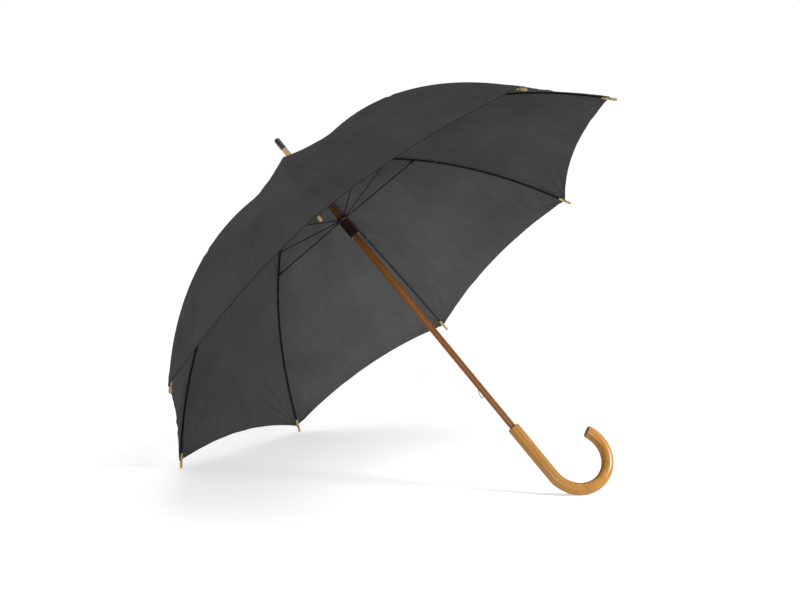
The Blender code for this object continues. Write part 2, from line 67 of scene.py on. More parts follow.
SECTOR = math.tau / RIBS
HALF = SECTOR / 2

# The rib's line and the cloth on it, as in the CAD
RIB_LENGTH = 605.2 * MM
SLOPE_IN = math.radians(-1.5)
SLOPE_OUT = math.radians(53.4)
SLOPE_POWER = 0.787
JOINT_ARC = 250.0 * MM
PIVOT_RADIUS = 10.0 * MM
CLOTH_OFFSET = 2.75 * MM  # the cloth's inner face above the rib's centre line
PEG_OFFSET = 3.45 * MM  # and above the peg's
HEM_SAG = 23.0 * MM
PANEL_DIP = 9.0 * MM
SPLIT_ARC = JOINT_ARC + 2.35 * MM  # where the rib flexes
PEG_LENGTH = 28.0 * MM
CORNER_ARC = RIB_LENGTH - PEG_LENGTH / 2

# Cloth
CLOTH = 0.35 * MM
HEM_WIDTH = 8.0 * MM
HEM_LAYER = 0.55 * MM  # extra thickness of the turned hem, on the inside
CLOTH_START = -2.8 * MM  # arc of the centre hole's edge
TIE_ARC = JOINT_ARC + 46.0 * MM
SEAM_TAPE = 5.0 * MM
THREAD_PITCH = 0.9 * MM
STITCH_LINE = 6.4 * MM  # from the hem's edge
STITCH_HALF_WIDTH = 0.35 * MM
# painted shade: a dark line is painted along the hem's edge so that the edge doesn't catch light
HEM_SHADE_LINE = 1.6 * MM  # width of the dark line along the hem's edge
WEAVE_STEP = 0.7  # metres from one panel's place in the weave pattern to the next
KEEP_INNER = 0.10  # how much of its width the cloth keeps when furled
KEEP_OUTER = 0.085

# Stations and sections of the stick
CAP_END = 25.6 * MM
CROWN = 89.4 * MM
TOP_SLOT = (194.0 * MM, 262.5 * MM)
BOTTOM_SLOT = (599.0 * MM, 641.0 * MM)
HANDLE_TOP = 709.2 * MM
BORE_END = 757.0 * MM
BEND_START = 817.5 * MM
SHAFT_RADIUS = 5.8 * MM
FERRULE_RADIUS = 4.9 * MM
CAP_RADIUS = 5.7 * MM
HANDLE_RADIUS = 11.0 * MM
HANDLE_SIDES = 56  # facets round the handle
BEND_RADIUS = 57.3 * MM
BEND_ANGLE = math.radians(209.5)
HOOK_AZIMUTH = math.radians(52.5)
TOP_SPRING_AZIMUTH = math.radians(290)
BOTTOM_SPRING_AZIMUTH = math.radians(200)
PEG_RADIUS = 2.6 * MM
COLLAR_RADIUS = 10.6 * MM
RUNNER_TUBE_RADIUS = 9.25 * MM
RUNNER_LENGTH = 42.0 * MM  # below its pivots
WINDOW = (10.5 * MM, 38.5 * MM)  # in the runner, below its pivots
BORE_PLAY = 0.3 * MM  # between the shaft and what sits round it

SHARP_ANGLE = math.radians(40)  # edges past it are shaded sharp

# Camera, in the frame's axes
CAMERA_PLACE = (1.20786, -2.20919, 0.59195)
CAMERA_FORWARD = (-0.48159, 0.86975, -0.1077)
CAMERA_UP = (-0.06704, 0.08597, 0.99404)
LENS = 62.8
SENSOR = 36


# ---------------------------------------------------------------- the umbrella's own axes
def lying_matrix():
    """From the shaft's axes to the frame's, read from the ring of rib hinges."""
    pivots = [
        Vector(joint["pos_m"])
        for joint in sorted(frame["joints"], key=lambda joint: joint["name"])
        if joint["name"].startswith("rib_fold_")
    ]
    centre = sum(pivots, Vector()) / RIBS
    up = (pivots[0] + pivots[1]) / 2 - centre
    out = (pivots[0] - centre).cross(pivots[2] - centre).normalized()
    up = (up - up.dot(out) * out).normalized()
    side = out.cross(up)
    turn = Matrix((up, side, out)).transposed().to_4x4()
    return Matrix.Translation(centre + out * CROWN) @ turn


LYING = lying_matrix()


def azimuth_of(rib):
    """Azimuth of a rib, counted from 1."""
    return SECTOR * (rib - 1.5)


def placed(azimuth=0.0):
    """From a drawing in the plane of azimuth 0 to the frame."""
    return LYING @ Matrix.Rotation(azimuth, 4, "Z")


# ---------------------------------------------------------------- the rib's line
LINE_ARCS = np.linspace(-0.02, RIB_LENGTH, 1300)
LINE_SLOPES = SLOPE_IN + (SLOPE_OUT - SLOPE_IN) * (
    np.clip(LINE_ARCS / RIB_LENGTH, 0, 1) ** SLOPE_POWER
)


def running_sum(values):
    """Integral along the rib's line, zero at the crown pivot."""
    steps = (values[1:] + values[:-1]) / 2 * np.diff(LINE_ARCS)
    total = np.concatenate([[0], np.cumsum(steps)])
    return total - np.interp(0, LINE_ARCS, total)


LINE_RADII = PIVOT_RADIUS + running_sum(np.cos(LINE_SLOPES))
LINE_STATIONS = CROWN + running_sum(np.sin(LINE_SLOPES))


def rib_line(arc):
    """Radius, station and slope of the rib's centre line."""
    radius = np.interp(arc, LINE_ARCS, LINE_RADII)
    station = np.interp(arc, LINE_ARCS, LINE_STATIONS)
    return radius, station, np.interp(arc, LINE_ARCS, LINE_SLOPES)


def above_rib(arc, height):
    """Point above the rib's centre line, in the plane of azimuth 0."""
    radius, station, slope = rib_line(arc)
    return Vector((radius + math.sin(slope) * height, 0, math.cos(slope) * height - station))


# ---------------------------------------------------------------- mesh helpers
def add_object(name, mesh, material):
    mesh.materials.append(material)
    item = bpy.data.objects.new(name, mesh)
    bpy.context.scene.collection.objects.link(item)
    return item


def smooth_mesh(name, points, faces, matrix):
    """A mesh in the frame, shaded smooth but for its sharp edges."""
    mesh = bpy.data.meshes.new(name)
    mesh.from_pydata([tuple(point) for point in points], [], faces)
    mesh.transform(matrix)
    work = bmesh.new()
    work.from_mesh(mesh)
    bmesh.ops.remove_doubles(work, verts=work.verts, dist=0.000002)
    bmesh.ops.recalc_face_normals(work, faces=work.faces)
    work.to_mesh(mesh)
    work.free()
    mesh.shade_smooth()
    mesh.set_sharp_from_angle(angle=SHARP_ANGLE)
    return mesh


def ring_faces(rings, count):
    """Quads between successive rings of points."""
    faces = []
    for ring in range(rings - 1):
        here = ring * count
        after = here + count
        for index in range(count):
            near = (index + 1) % count
            faces.append((here + index, here + near, after + near, after + index))
    return faces


def rounded(profile, reach):
    """Round the corners of an open (radius, station) profile by a small reach."""
    steps = 4
    result = [profile[0]]
    for before, corner, after in zip(profile, profile[1:], profile[2:]):
        corner = Vector(corner)
        back = Vector(before) - corner
        ahead = Vector(after) - corner
        cut = min(reach, back.length * 0.45, ahead.length * 0.45)
        start = corner + back.normalized() * cut
        end = corner + ahead.normalized() * cut
        for step in range(steps + 1):
            share = step / steps
            result.append(tuple(start.lerp(corner, share).lerp(corner.lerp(end, share), share)))
    result.append(profile[-1])
    return result


def turned(name, profile, material, matrix=LYING, segments=64):
    """A body of revolution about the shaft from (radius, station) pairs."""
    points = []
    for radius, station in profile:
        for step in range(segments):
            angle = math.tau * step / segments
            points.append((radius * math.cos(angle), radius * math.sin(angle), -station))
    faces = ring_faces(len(profile), segments)
    return add_object(name, smooth_mesh(name, points, faces, matrix), material)


def tube_points(path, radii, sides):
    """Rings of points round a line, with no twist from one to the next."""
    path = [Vector(point) for point in path]
    count = len(path)
    tangents = [
        (path[min(index + 1, count - 1)] - path[max(index - 1, 0)]).normalized()
        for index in range(count)
    ]
    side = tangents[0].orthogonal().normalized()
    points = []
    for index, point in enumerate(path):
        if index:
            side = tangents[index - 1].rotation_difference(tangents[index]) @ side
        other = tangents[index].cross(side)
        for step in range(sides):
            angle = math.tau * step / sides
            points.append(point + (side * math.cos(angle) + other * math.sin(angle)) * radii[index])
    return points


def tube(name, path, radius, material, matrix, sides):
    """A round rod along a line; radius is one length, or a list with one for each point."""
    radii = radius if isinstance(radius, list) else [radius] * len(path)
    points = tube_points(path, radii, sides)
    faces = ring_faces(len(path), sides)
    last = len(points) - sides
    faces.append(tuple(reversed(range(sides))))
    faces.append(tuple(range(last, last + sides)))
    return add_object(name, smooth_mesh(name, points, faces, matrix), material)


def smooth_path(points, steps):
    """A Catmull-Rom curve through a few points."""
    points = [Vector(point) for point in points]
    ends = [2 * points[0] - points[1], *points, 2 * points[-1] - points[-2]]
    path = []
    for before, start, end, after in zip(ends, ends[1:], ends[2:], ends[3:]):
        for step in range(steps):
            t = step / steps
            path.append(
                0.5
                * (
                    2 * start
                    + (end - before) * t
                    + (2 * before - 5 * start + 4 * end - after) * t**2
                    + (3 * start - before - 3 * end + after) * t**3
                )
            )
    path.append(points[-1])
    return path


def cut_box(item, low, high, azimuth, bevel=0.0):
    """Cut a box out of a mesh object; the box is drawn in the plane of azimuth 0."""
    mesh = bpy.data.meshes.new("cutter")
    work = bmesh.new()
    bmesh.ops.create_cube(work, size=1)
    size = Vector(high) - Vector(low)
    middle = (Vector(high) + Vector(low)) / 2
    bmesh.ops.transform(
        work, verts=work.verts, matrix=Matrix.Translation(middle) @ Matrix.Diagonal((*size, 1))
    )
    if bevel:
        runs = {edge: edge.verts[0].co - edge.verts[1].co for edge in work.edges}
        upright = [edge for edge in work.edges if abs(runs[edge].x) > 0.5 * size.x]
        bmesh.ops.bevel(work, geom=upright, offset=bevel, segments=5, affect="EDGES", profile=0.5)
    work.to_mesh(mesh)
    work.free()
    mesh.transform(placed(azimuth))
    tool = bpy.data.objects.new("cutter", mesh)
    bpy.context.scene.collection.objects.link(tool)
    modifier = item.modifiers.new("Cut", "BOOLEAN")
    modifier.object = tool
    modifier.solver = "EXACT"
    bpy.context.view_layer.update()
    evaluated = item.evaluated_get(bpy.context.evaluated_depsgraph_get())
    cut = bpy.data.meshes.new_from_object(evaluated)
    item.modifiers.clear()
    item.data = cut
    item.data.set_sharp_from_angle(angle=SHARP_ANGLE)
    bpy.data.objects.remove(tool)


# ---------------------------------------------------------------- materials
def new_material(name, color, roughness, metallic=0.0, gloss=0.5, **sockets):
    """A Principled material; sockets are named like coat_weight or sheen_weight."""
    material = bpy.data.materials.new(name)
    material.use_nodes = True
    shader = material.node_tree.nodes["Principled BSDF"]
    shader.inputs["Base Color"].default_value = (*color, 1)
    shader.inputs["Roughness"].default_value = roughness
    shader.inputs["Metallic"].default_value = metallic
    shader.inputs["Specular IOR Level"].default_value = gloss
    for socket, value in sockets.items():
        shader.inputs[socket.replace("_", " ").title()].default_value = value
    return material


class Nodes:
    """Short names for building one material's node tree."""

    def __init__(self, material):
        self.tree = material.node_tree
        self.shader = self.tree.nodes["Principled BSDF"]

    def link(self, source, target):
        self.tree.links.new(source, target)

    def add(self, kind, inputs=None, **settings):
        node = self.tree.nodes.new(kind)
        for key, value in settings.items():
            setattr(node, key, value)
        for key, value in (inputs or {}).items():
            if isinstance(value, bpy.types.NodeSocket):
                self.link(value, node.inputs[key])
            else:
                node.inputs[key].default_value = value
        return node

    def uv(self, name):
        return self.add("ShaderNodeUVMap", uv_map=name).outputs["UV"]

    def shaft_space(self, scale):
        """Coordinates along the stick: Z runs along the shaft."""
        place = self.add("ShaderNodeTexCoord").outputs["Object"]
        turn = LYING.inverted().to_euler()
        spun = self.add(
            "ShaderNodeMapping", {"Vector": place, "Rotation": tuple(turn)}, vector_type="POINT"
        )
        return self.add(
            "ShaderNodeMapping", {"Vector": spun.outputs["Vector"], "Scale": scale}
        ).outputs["Vector"]

    def stretched(self, vector, scale):
        return self.add("ShaderNodeMapping", {"Vector": vector, "Scale": scale}).outputs["Vector"]

    def noise(self, vector, scale, detail, distortion=0.0):
        inputs = {"Vector": vector, "Scale": scale, "Detail": detail, "Distortion": distortion}
        return self.add("ShaderNodeTexNoise", inputs).outputs["Fac"]

    def math(self, operation, first, second=0.0):
        node = self.add("ShaderNodeMath", {0: first, 1: second}, operation=operation)
        return node.outputs["Value"]

    def ramp(self, value, *stops):
        """Map a value to colours at positions."""
        node = self.add("ShaderNodeValToRGB", {"Fac": value})
        elements = node.color_ramp.elements
        while len(elements) < len(stops):
            elements.new(0.5)
        for element, (position, color) in zip(elements, stops):
            element.position = position
            element.color = (*color, 1)
        return node.outputs["Color"]

    def span(self, value, low, high):
        """Map a value from 0..1 to low..high."""
        node = self.add("ShaderNodeMapRange", {"Value": value, "To Min": low, "To Max": high})
        return node.outputs["Result"]

    def bump(self, height, strength, distance, below=None):
        inputs = {"Height": height, "Strength": strength, "Distance": distance}
        if below is not None:
            inputs["Normal"] = below
        return self.add("ShaderNodeBump", inputs).outputs["Normal"]


def cloth_material():
    """Black pongee: a fine weave with slubs along the panel and stitches along the hem, with a painted
    shade line on the hem's edge.
    """
    material = new_material("black_pongee", (0.045, 0.045, 0.046), 0.8, gloss=0.12)
    nodes = Nodes(material)
    weave = nodes.uv("weave")
    threads = nodes.stretched(weave, (1 / THREAD_PITCH, 1 / THREAD_PITCH, 1))
    split = nodes.add("ShaderNodeSeparateXYZ", {"Vector": threads})
    warp = nodes.math("SINE", nodes.math("MULTIPLY", split.outputs["X"], math.tau))
    weft = nodes.math("SINE", nodes.math("MULTIPLY", split.outputs["Y"], math.tau))
    crossing = nodes.math("MULTIPLY", warp, weft)
    slubs = nodes.noise(nodes.stretched(weave, (420, 14, 1)), 1.0, 4.0)
    fills = nodes.noise(nodes.stretched(weave, (18, 300, 1)), 1.0, 3.0)
    cloudy = nodes.noise(weave, 9.0, 2.0)
    shade = nodes.math("ADD", nodes.span(slubs, -0.34, 0.34), nodes.span(fills, -0.07, 0.07))
    shade = nodes.math("ADD", shade, nodes.span(cloudy, -0.3, 0.3))
    edges = nodes.add("ShaderNodeSeparateXYZ", {"Vector": nodes.uv("edges")})
    from_hem = edges.outputs["Y"]
    along_hem = nodes.math("MULTIPLY", split.outputs["X"], 2.2)
    dashes = nodes.math("GREATER_THAN", nodes.math("SINE", along_hem), -0.35)
    off_line = nodes.math("ABSOLUTE", nodes.math("SUBTRACT", from_hem, STITCH_LINE))
    near_line = nodes.math("LESS_THAN", off_line, STITCH_HALF_WIDTH)
    stitch = nodes.math("MULTIPLY", dashes, near_line)
    shade = nodes.math("ADD", shade, nodes.math("MULTIPLY", stitch, -0.35))
    # painted shade along the hem's edge, where the cloth's thin edge would catch light
    fold = nodes.math("LESS_THAN", from_hem, HEM_SHADE_LINE)
    shade = nodes.math("ADD", shade, nodes.math("MULTIPLY", fold, -0.5))
    shade = nodes.math("ADD", shade, 0.5)
    color = nodes.ramp(shade, (0.0, (0.018, 0.018, 0.019)), (1.0, (0.060, 0.060, 0.061)))
    nodes.link(color, nodes.shader.inputs["Base Color"])
    nodes.link(nodes.span(slubs, 0.72, 0.86), nodes.shader.inputs["Roughness"])
    fine = nodes.bump(crossing, 0.25, 0.06 * MM)
    lines = nodes.bump(slubs, 0.35, 0.25 * MM, fine)
    stitched = nodes.bump(stitch, 0.6, 0.2 * MM, lines)
    nodes.link(stitched, nodes.shader.inputs["Normal"])
    return material


def wood_material(name, dark, middle, light, roughness, grain):
    """Varnished wood with fibres and pores along the stick."""
    material = new_material(name, middle, roughness, gloss=0.15, coat_weight=0.12, coat_roughness=0.08)
    nodes = Nodes(material)
    fibres = nodes.noise(nodes.shaft_space((grain, grain, 9)), 1.0, 6.0, 0.6)
    bands = nodes.noise(nodes.shaft_space((60, 60, 2.5)), 1.0, 3.0, 1.2)
    pores = nodes.noise(nodes.shaft_space((grain * 3, grain * 3, 60)), 1.0, 2.0)
    mix = nodes.math("ADD", nodes.span(fibres, -0.3, 0.3), nodes.span(bands, -0.25, 0.25))
    mix = nodes.math("ADD", mix, 0.5)
    color = nodes.ramp(mix, (0.15, dark), (0.5, middle), (0.85, light))
    nodes.link(color, nodes.shader.inputs["Base Color"])
    nodes.link(nodes.span(fibres, roughness - 0.06, roughness + 0.1), nodes.shader.inputs["Roughness"])
    nodes.link(nodes.bump(pores, 0.12, 0.1 * MM), nodes.shader.inputs["Normal"])
    return material


def plastic_material(name, color, worn, roughness, **sockets):
    """Moulded plastic with a faint orange-peel surface and rubbed patches."""
    material = new_material(name, color, roughness, **sockets)
    nodes = Nodes(material)
    place = nodes.add("ShaderNodeTexCoord").outputs["Object"]
    patches = nodes.noise(place, 90.0, 4.0)
    peel = nodes.noise(place, 900.0, 2.0)
    nodes.link(nodes.ramp(patches, (0.35, color), (0.75, worn)), nodes.shader.inputs["Base Color"])
    nodes.link(nodes.span(patches, roughness - 0.05, roughness + 0.12), nodes.shader.inputs["Roughness"])
    nodes.link(nodes.bump(peel, 0.08, 0.1 * MM), nodes.shader.inputs["Normal"])
    return material


def steel_material(name, color, worn, roughness, metallic, gloss):
    """Painted or drawn steel: fine grain, a little rubbed."""
    material = new_material(name, color, roughness, metallic, gloss)
    nodes = Nodes(material)
    place = nodes.add("ShaderNodeTexCoord").outputs["Object"]
    rubbed = nodes.noise(place, 160.0, 5.0)
    grain = nodes.noise(place, 1500.0, 2.0)
    nodes.link(nodes.ramp(rubbed, (0.45, color), (0.8, worn)), nodes.shader.inputs["Base Color"])
    nodes.link(nodes.span(rubbed, roughness - 0.08, roughness + 0.15), nodes.shader.inputs["Roughness"])
    nodes.link(nodes.bump(grain, 0.1, 0.05 * MM), nodes.shader.inputs["Normal"])
    return material


def thread_material(name, color):
    """Spun thread or tape."""
    material = new_material(name, color, 0.85, sheen_weight=0.2, sheen_roughness=0.5)
    nodes = Nodes(material)
    place = nodes.add("ShaderNodeTexCoord").outputs["Object"]
    fibres = nodes.noise(place, 2500.0, 3.0)
    dark = tuple(channel * 0.6 for channel in color)
    nodes.link(nodes.ramp(fibres, (0.3, dark), (0.7, color)), nodes.shader.inputs["Base Color"])
    nodes.link(nodes.bump(fibres, 0.4, 0.1 * MM), nodes.shader.inputs["Normal"])
    return material


CLOTH_BLACK = cloth_material()
# the shaft's wood, darker where it stands under the canopy: its own colour with painted shade
SHAFT_WOOD = wood_material(
    "shaft_varnish", (0.060, 0.018, 0.002), (0.105, 0.035, 0.004), (0.20, 0.076, 0.011), 0.36, 700
)
HANDLE_WOOD = wood_material(
    "handle_varnish", (0.14, 0.060, 0.010), (0.20, 0.091, 0.016), (0.26, 0.130, 0.027), 0.3, 420
)
DARKER_HANDLE_ENDS = wood_material(
    "handle_darker_ends", (0.035, 0.011, 0.002), (0.055, 0.019, 0.003), (0.085, 0.032, 0.006), 0.5, 420
)
PEG_WOOD = wood_material(
    "peg_varnish", (0.20, 0.12, 0.04), (0.31, 0.20, 0.07), (0.44, 0.31, 0.13), 0.38, 1500
)
# a lighter copy of the same wood for the ferrule end, out in the light: painted light
FERRULE_WOOD_PAINTED_LIGHT = wood_material(
    "ferrule_varnish_painted_light", (0.28, 0.15, 0.055), (0.40, 0.25, 0.11), (0.52, 0.36, 0.19), 0.34, 700
)
CAP_BLACK = plastic_material(
    "cap_gloss",
    (0.006, 0.004, 0.007),
    (0.014, 0.010, 0.015),
    0.16,
    coat_weight=0.5,
    coat_roughness=0.05,
)
RUNNER_BROWN = plastic_material(
    "runner_brown", (0.010, 0.003, 0.003), (0.022, 0.008, 0.008), 0.3, gloss=0.35
)
BLACK_STEEL = steel_material(
    "black_paint", (0.004, 0.004, 0.005), (0.012, 0.012, 0.013), 0.45, metallic=0.0, gloss=0.2
)
# drawn steel wire, made dark so that the springs in their slots show the slot's shade: real wire with
# painted shade
WIRE_STEEL_PAINTED_SHADE = steel_material(
    "drawn_wire_painted_shade", (0.045, 0.042, 0.042), (0.10, 0.10, 0.105), 0.38, metallic=0.6, gloss=0.3
)
BLACK_THREAD = thread_material("black_thread", (0.022, 0.022, 0.024))


# ---------------------------------------------------------------- cloth surface
def smooth_step(value):
    value = np.clip(value, 0, 1)
    return value * value * (3 - 2 * value)


def centre_edge(q):
    """Arc of the centre hole's edge; q runs from 0 at the rib to 1 in the panel's middle."""
    return CLOTH_START + 0 * q


def split_edge(q):
    """Arc at which the inner and outer cloth meet."""
    return SPLIT_ARC + 0 * q


def hem_arc(q):
    """Arc of the hem's edge, which sags between the pegs."""
    return CORNER_ARC - HEM_SAG * q * (2 - q)


def half_width(arc):
    """Distance from a rib to the middle of its panel."""
    return rib_line(arc)[0] * math.sin(HALF)


def wave_field(panel, x, y):
    """Soft folds along a panel: a few seeded waves, long up the panel and short across."""
    draw = np.random.default_rng(100 + panel)
    total = np.zeros_like(x)
    for _ in range(7):
        across = math.tau / draw.uniform(38 * MM, 110 * MM)
        along = math.tau / draw.uniform(260 * MM, 700 * MM) * draw.choice([-1, 1])
        phase = draw.uniform(0, math.tau)
        height = draw.uniform(0.10, 0.30) * MM
        total += height * np.cos(across * x + along * y + phase)
    return total


def corner_creases(rib, side, arc, across):
    """Tension folds that fan out from the peg into one panel."""
    draw = np.random.default_rng(10 * rib + (1 if side > 0 else 0))
    strength = 1.5 if rib in (3, 4, 5) else 0.6
    back = CORNER_ARC + 3 * MM - arc
    distance = np.hypot(back, across)
    angle = np.arctan2(across, np.maximum(back, 0.1 * MM))
    total = np.zeros_like(distance)
    for base in (0.20, 0.48, 0.80, 1.08):
        middle = base + draw.uniform(-0.07, 0.07)
        width = draw.uniform(0.075, 0.12)
        reach = draw.uniform(22, 48) * MM
        height = strength * draw.uniform(0.5, 1.7) * MM
        falloff = distance / reach * np.exp(1 - distance / reach)
        total += height * falloff * np.exp(-(((angle - middle) / width) ** 2))
        total -= 0.7 * height * falloff * np.exp(-(((angle - middle - 1.7 * width) / width) ** 2))
    return total


def tie_puckers(arc, across):
    """The cloth is drawn down to the rib at its tie and puffs up beside it."""
    along = arc - TIE_ARC
    pinch = -1.3 * MM * np.exp(-((along / (5 * MM)) ** 2) - (across / (7 * MM)) ** 2)
    puff = 0.9 * MM * np.exp(-(((np.abs(along) - 13 * MM) / (7 * MM)) ** 2))
    return pinch + puff * np.exp(-(((across - 5 * MM) / (6 * MM)) ** 2))


def relief(rib, side, arc, q):
    """Height of folds and creases above the taut panel."""
    across = q * half_width(arc)
    panel = rib if side > 0 else (rib - 2) % RIBS + 1
    x = -side * (1 - q) * half_width(arc)
    near_rib = smooth_step(across / (60 * MM))
    growth = 0.35 + 0.65 * smooth_step(arc / RIB_LENGTH)
    height = wave_field(panel, x, arc) * near_rib * growth
    height += corner_creases(rib, side, arc, across) * smooth_step(across / (6 * MM))
    height += tie_puckers(arc, across)
    return height * smooth_step((arc - 10 * MM) / (60 * MM))


def cloth_height(arc):
    """The cloth's height over the rib's centre line, a little more over the peg."""
    ramp = 14 * MM
    ramp_start = RIB_LENGTH - PEG_LENGTH - 17 * MM
    share = smooth_step((arc - ramp_start) / ramp)
    return CLOTH_OFFSET + (PEG_OFFSET - CLOTH_OFFSET) * share


def taut_point(arc, q):
    """Panel point with no folds, for the panel beside a rib at azimuth 0."""
    radius, station, slope = rib_line(arc)
    height = cloth_height(arc)
    x = radius + np.sin(slope) * height
    z = np.cos(slope) * height - station
    dip = PANEL_DIP * np.sin(math.pi * np.clip(arc / RIB_LENGTH, 0, 1)) * q * (2 - q)
    turn = HALF * q
    px = x * (1 - q * math.sin(HALF) ** 2) - np.sin(slope) * np.cos(turn) * dip
    py = x * q * math.cos(HALF) * math.sin(HALF) - np.sin(slope) * np.sin(turn) * dip
    return np.stack([px, py, z - np.cos(slope) * dip], axis=-1)


def surface_normal(point_at, arc, q):
    """Unit normal out of the umbrella, by small steps along and across."""
    step_arc = 0.4 * MM
    step_q = 0.002
    along = point_at(arc + step_arc, q) - point_at(arc - step_arc, q)
    across = point_at(arc, q + step_q) - point_at(arc, q - step_q)
    normal = np.cross(along, across)
    return normal / np.linalg.norm(normal, axis=-1, keepdims=True)


def cloth_layer(rib, side, arc, q, offset):
    """Points and normals of one face of the cloth, with its folds."""

    def folded(arc, q):
        taut = taut_point(arc, q)
        normal = surface_normal(taut_point, arc, q)
        return taut + normal * relief(rib, side, arc, q)[..., None]

    point = folded(arc, q)
    normal = surface_normal(folded, arc, q)
    return point + normal * offset[..., None], normal


def spaced(count, power_start, power_end):
    """Shares from 0 to 1, closer together at either end for powers above 1."""
    even = np.linspace(0, 1, count + 1)
    low = even**power_start
    return low * (1 - even) + (1 - (1 - even) ** power_end) * even


def shell_faces(rows, columns):
    """Faces of a closed sheet: outer grid, inner grid and the four rims between."""
    width = columns + 1
    below = (rows + 1) * width
    faces = []
    for row in range(rows):
        for column in range(columns):
            corner = row * width + column
            loop = (corner, corner + width, corner + width + 1, corner + 1)
            faces.append(loop)
            faces.append(tuple(below + index for index in reversed(loop)))
    rim = list(range(columns))
    rim += [row * width + columns for row in range(rows)]
    rim += [rows * width + column for column in range(columns, 0, -1)]
    rim += [row * width for row in range(rows, 0, -1)]
    for index, after in zip(rim, rim[1:] + rim[:1]):
        faces.append((index, after, after + below, index + below))
    return faces


def cloth_piece(name, rib, side, start, end, rows, columns, hem):
    """One half-panel beside a rib, as a thin closed sheet."""
    q = np.tile(spaced(columns, 1.25, 1.0), (rows + 1, 1))
    share = np.tile(spaced(rows, 1.0, 1.6 if hem else 1.0)[:, None], (1, columns + 1))
    first = start(q)
    arc = first + (end(q) - first) * share
    from_hem = hem_arc(q) - arc
    zero = np.zeros_like(q)
    turned_in = HEM_LAYER * smooth_step((HEM_WIDTH - from_hem) / (1.2 * MM)) if hem else zero
    outer, outward = cloth_layer(rib, side, arc, q, zero + CLOTH)
    inner, _ = cloth_layer(rib, side, arc, q, -turned_in)
    flip = np.array([1, side, 1])
    points = np.concatenate([outer.reshape(-1, 3), inner.reshape(-1, 3)]) * flip
    normals = np.concatenate([outward.reshape(-1, 3), -outward.reshape(-1, 3)]) * flip
    faces = shell_faces(rows, columns)
    if side < 0:
        faces = [tuple(reversed(face)) for face in faces]
    matrix = placed(azimuth_of(rib))
    turn = np.array(matrix.to_3x3())
    mesh = bpy.data.meshes.new(name)
    mesh.from_pydata(points @ turn.T + np.array(matrix.translation), [], faces)
    width = half_width(arc)
    weave_x = -side * (1 - q) * width + rib * WEAVE_STEP + side * WEAVE_STEP / 2
    weave = np.stack([weave_x, arc], axis=-1).reshape(-1, 2)
    edges = np.stack([q * width, from_hem], axis=-1).reshape(-1, 2)
    for layer_name, values in (("weave", weave), ("edges", edges)):
        layer = mesh.uv_layers.new(name=layer_name)
        corners = np.empty(len(mesh.loops), dtype=np.int32)
        mesh.loops.foreach_get("vertex_index", corners)
        layer.data.foreach_set("uv", np.concatenate([values, values])[corners].ravel())
    mesh.shade_smooth()
    mesh.normals_split_custom_set_from_vertices((normals @ turn.T).tolist())
    return add_object(name, mesh, CLOTH_BLACK), arc


def make_cloth(rib):
    """The eighth of the canopy that its rib carries: two panel halves in two parts."""
    made = {"inner": [], "outer": []}
    parts = (
        ("inner", f"rib_{rib}", centre_edge, split_edge, 30, 16, KEEP_INNER),
        ("outer", f"rib_tail_{rib}", split_edge, hem_arc, 52, 26, KEEP_OUTER),
    )
    for part, body, start, end, rows, columns, keep in parts:
        for side, word in ((1, "left"), (-1, "right")):
            name = f"cloth_{part}_{word}_{rib}"
            item, arc = cloth_piece(name, rib, side, start, end, rows, columns, part == "outer")
            first, last = float(arc.min()), float(arc.max())
            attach(item, body)
            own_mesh(item)
            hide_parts(f"canopy_{part}_{rib}")
            made[part].append((item, last - first))
    return made


def make_seam_tape(rib):
    """The panels' seam allowance: a tape under the seam."""
    rows = 90
    arcs = [CLOTH_START + (CORNER_ARC - CLOTH_START) * row / rows for row in range(rows + 1)]
    low, high = 1.35 * MM, 1.75 * MM
    half = SEAM_TAPE / 2
    section = [(-half, low), (-half, high), (half, high), (half, low)]
    points = []
    for arc in arcs:
        lift = float(cloth_height(arc)) - CLOTH_OFFSET
        base = above_rib(arc, 0)
        up = above_rib(arc, 1) - base
        points += [base + Vector((0, y, 0)) + up * (z + lift) for y, z in section]
    faces = ring_faces(len(arcs), len(section))
    last = len(points) - 4
    faces += [(3, 2, 1, 0), (last, last + 1, last + 2, last + 3)]
    name = f"seam_tape_{rib}"
    mesh = smooth_mesh(name, points, faces, placed(azimuth_of(rib)))
    tape = add_object(name, mesh, BLACK_THREAD)
    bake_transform(tape)
    return tape


def make_canopy():
    """All cloth: the panel pieces that each rib carries, and its seam tape."""
    for rib in range(1, RIBS + 1):
        made = make_cloth(rib)
        tape = make_seam_tape(rib)


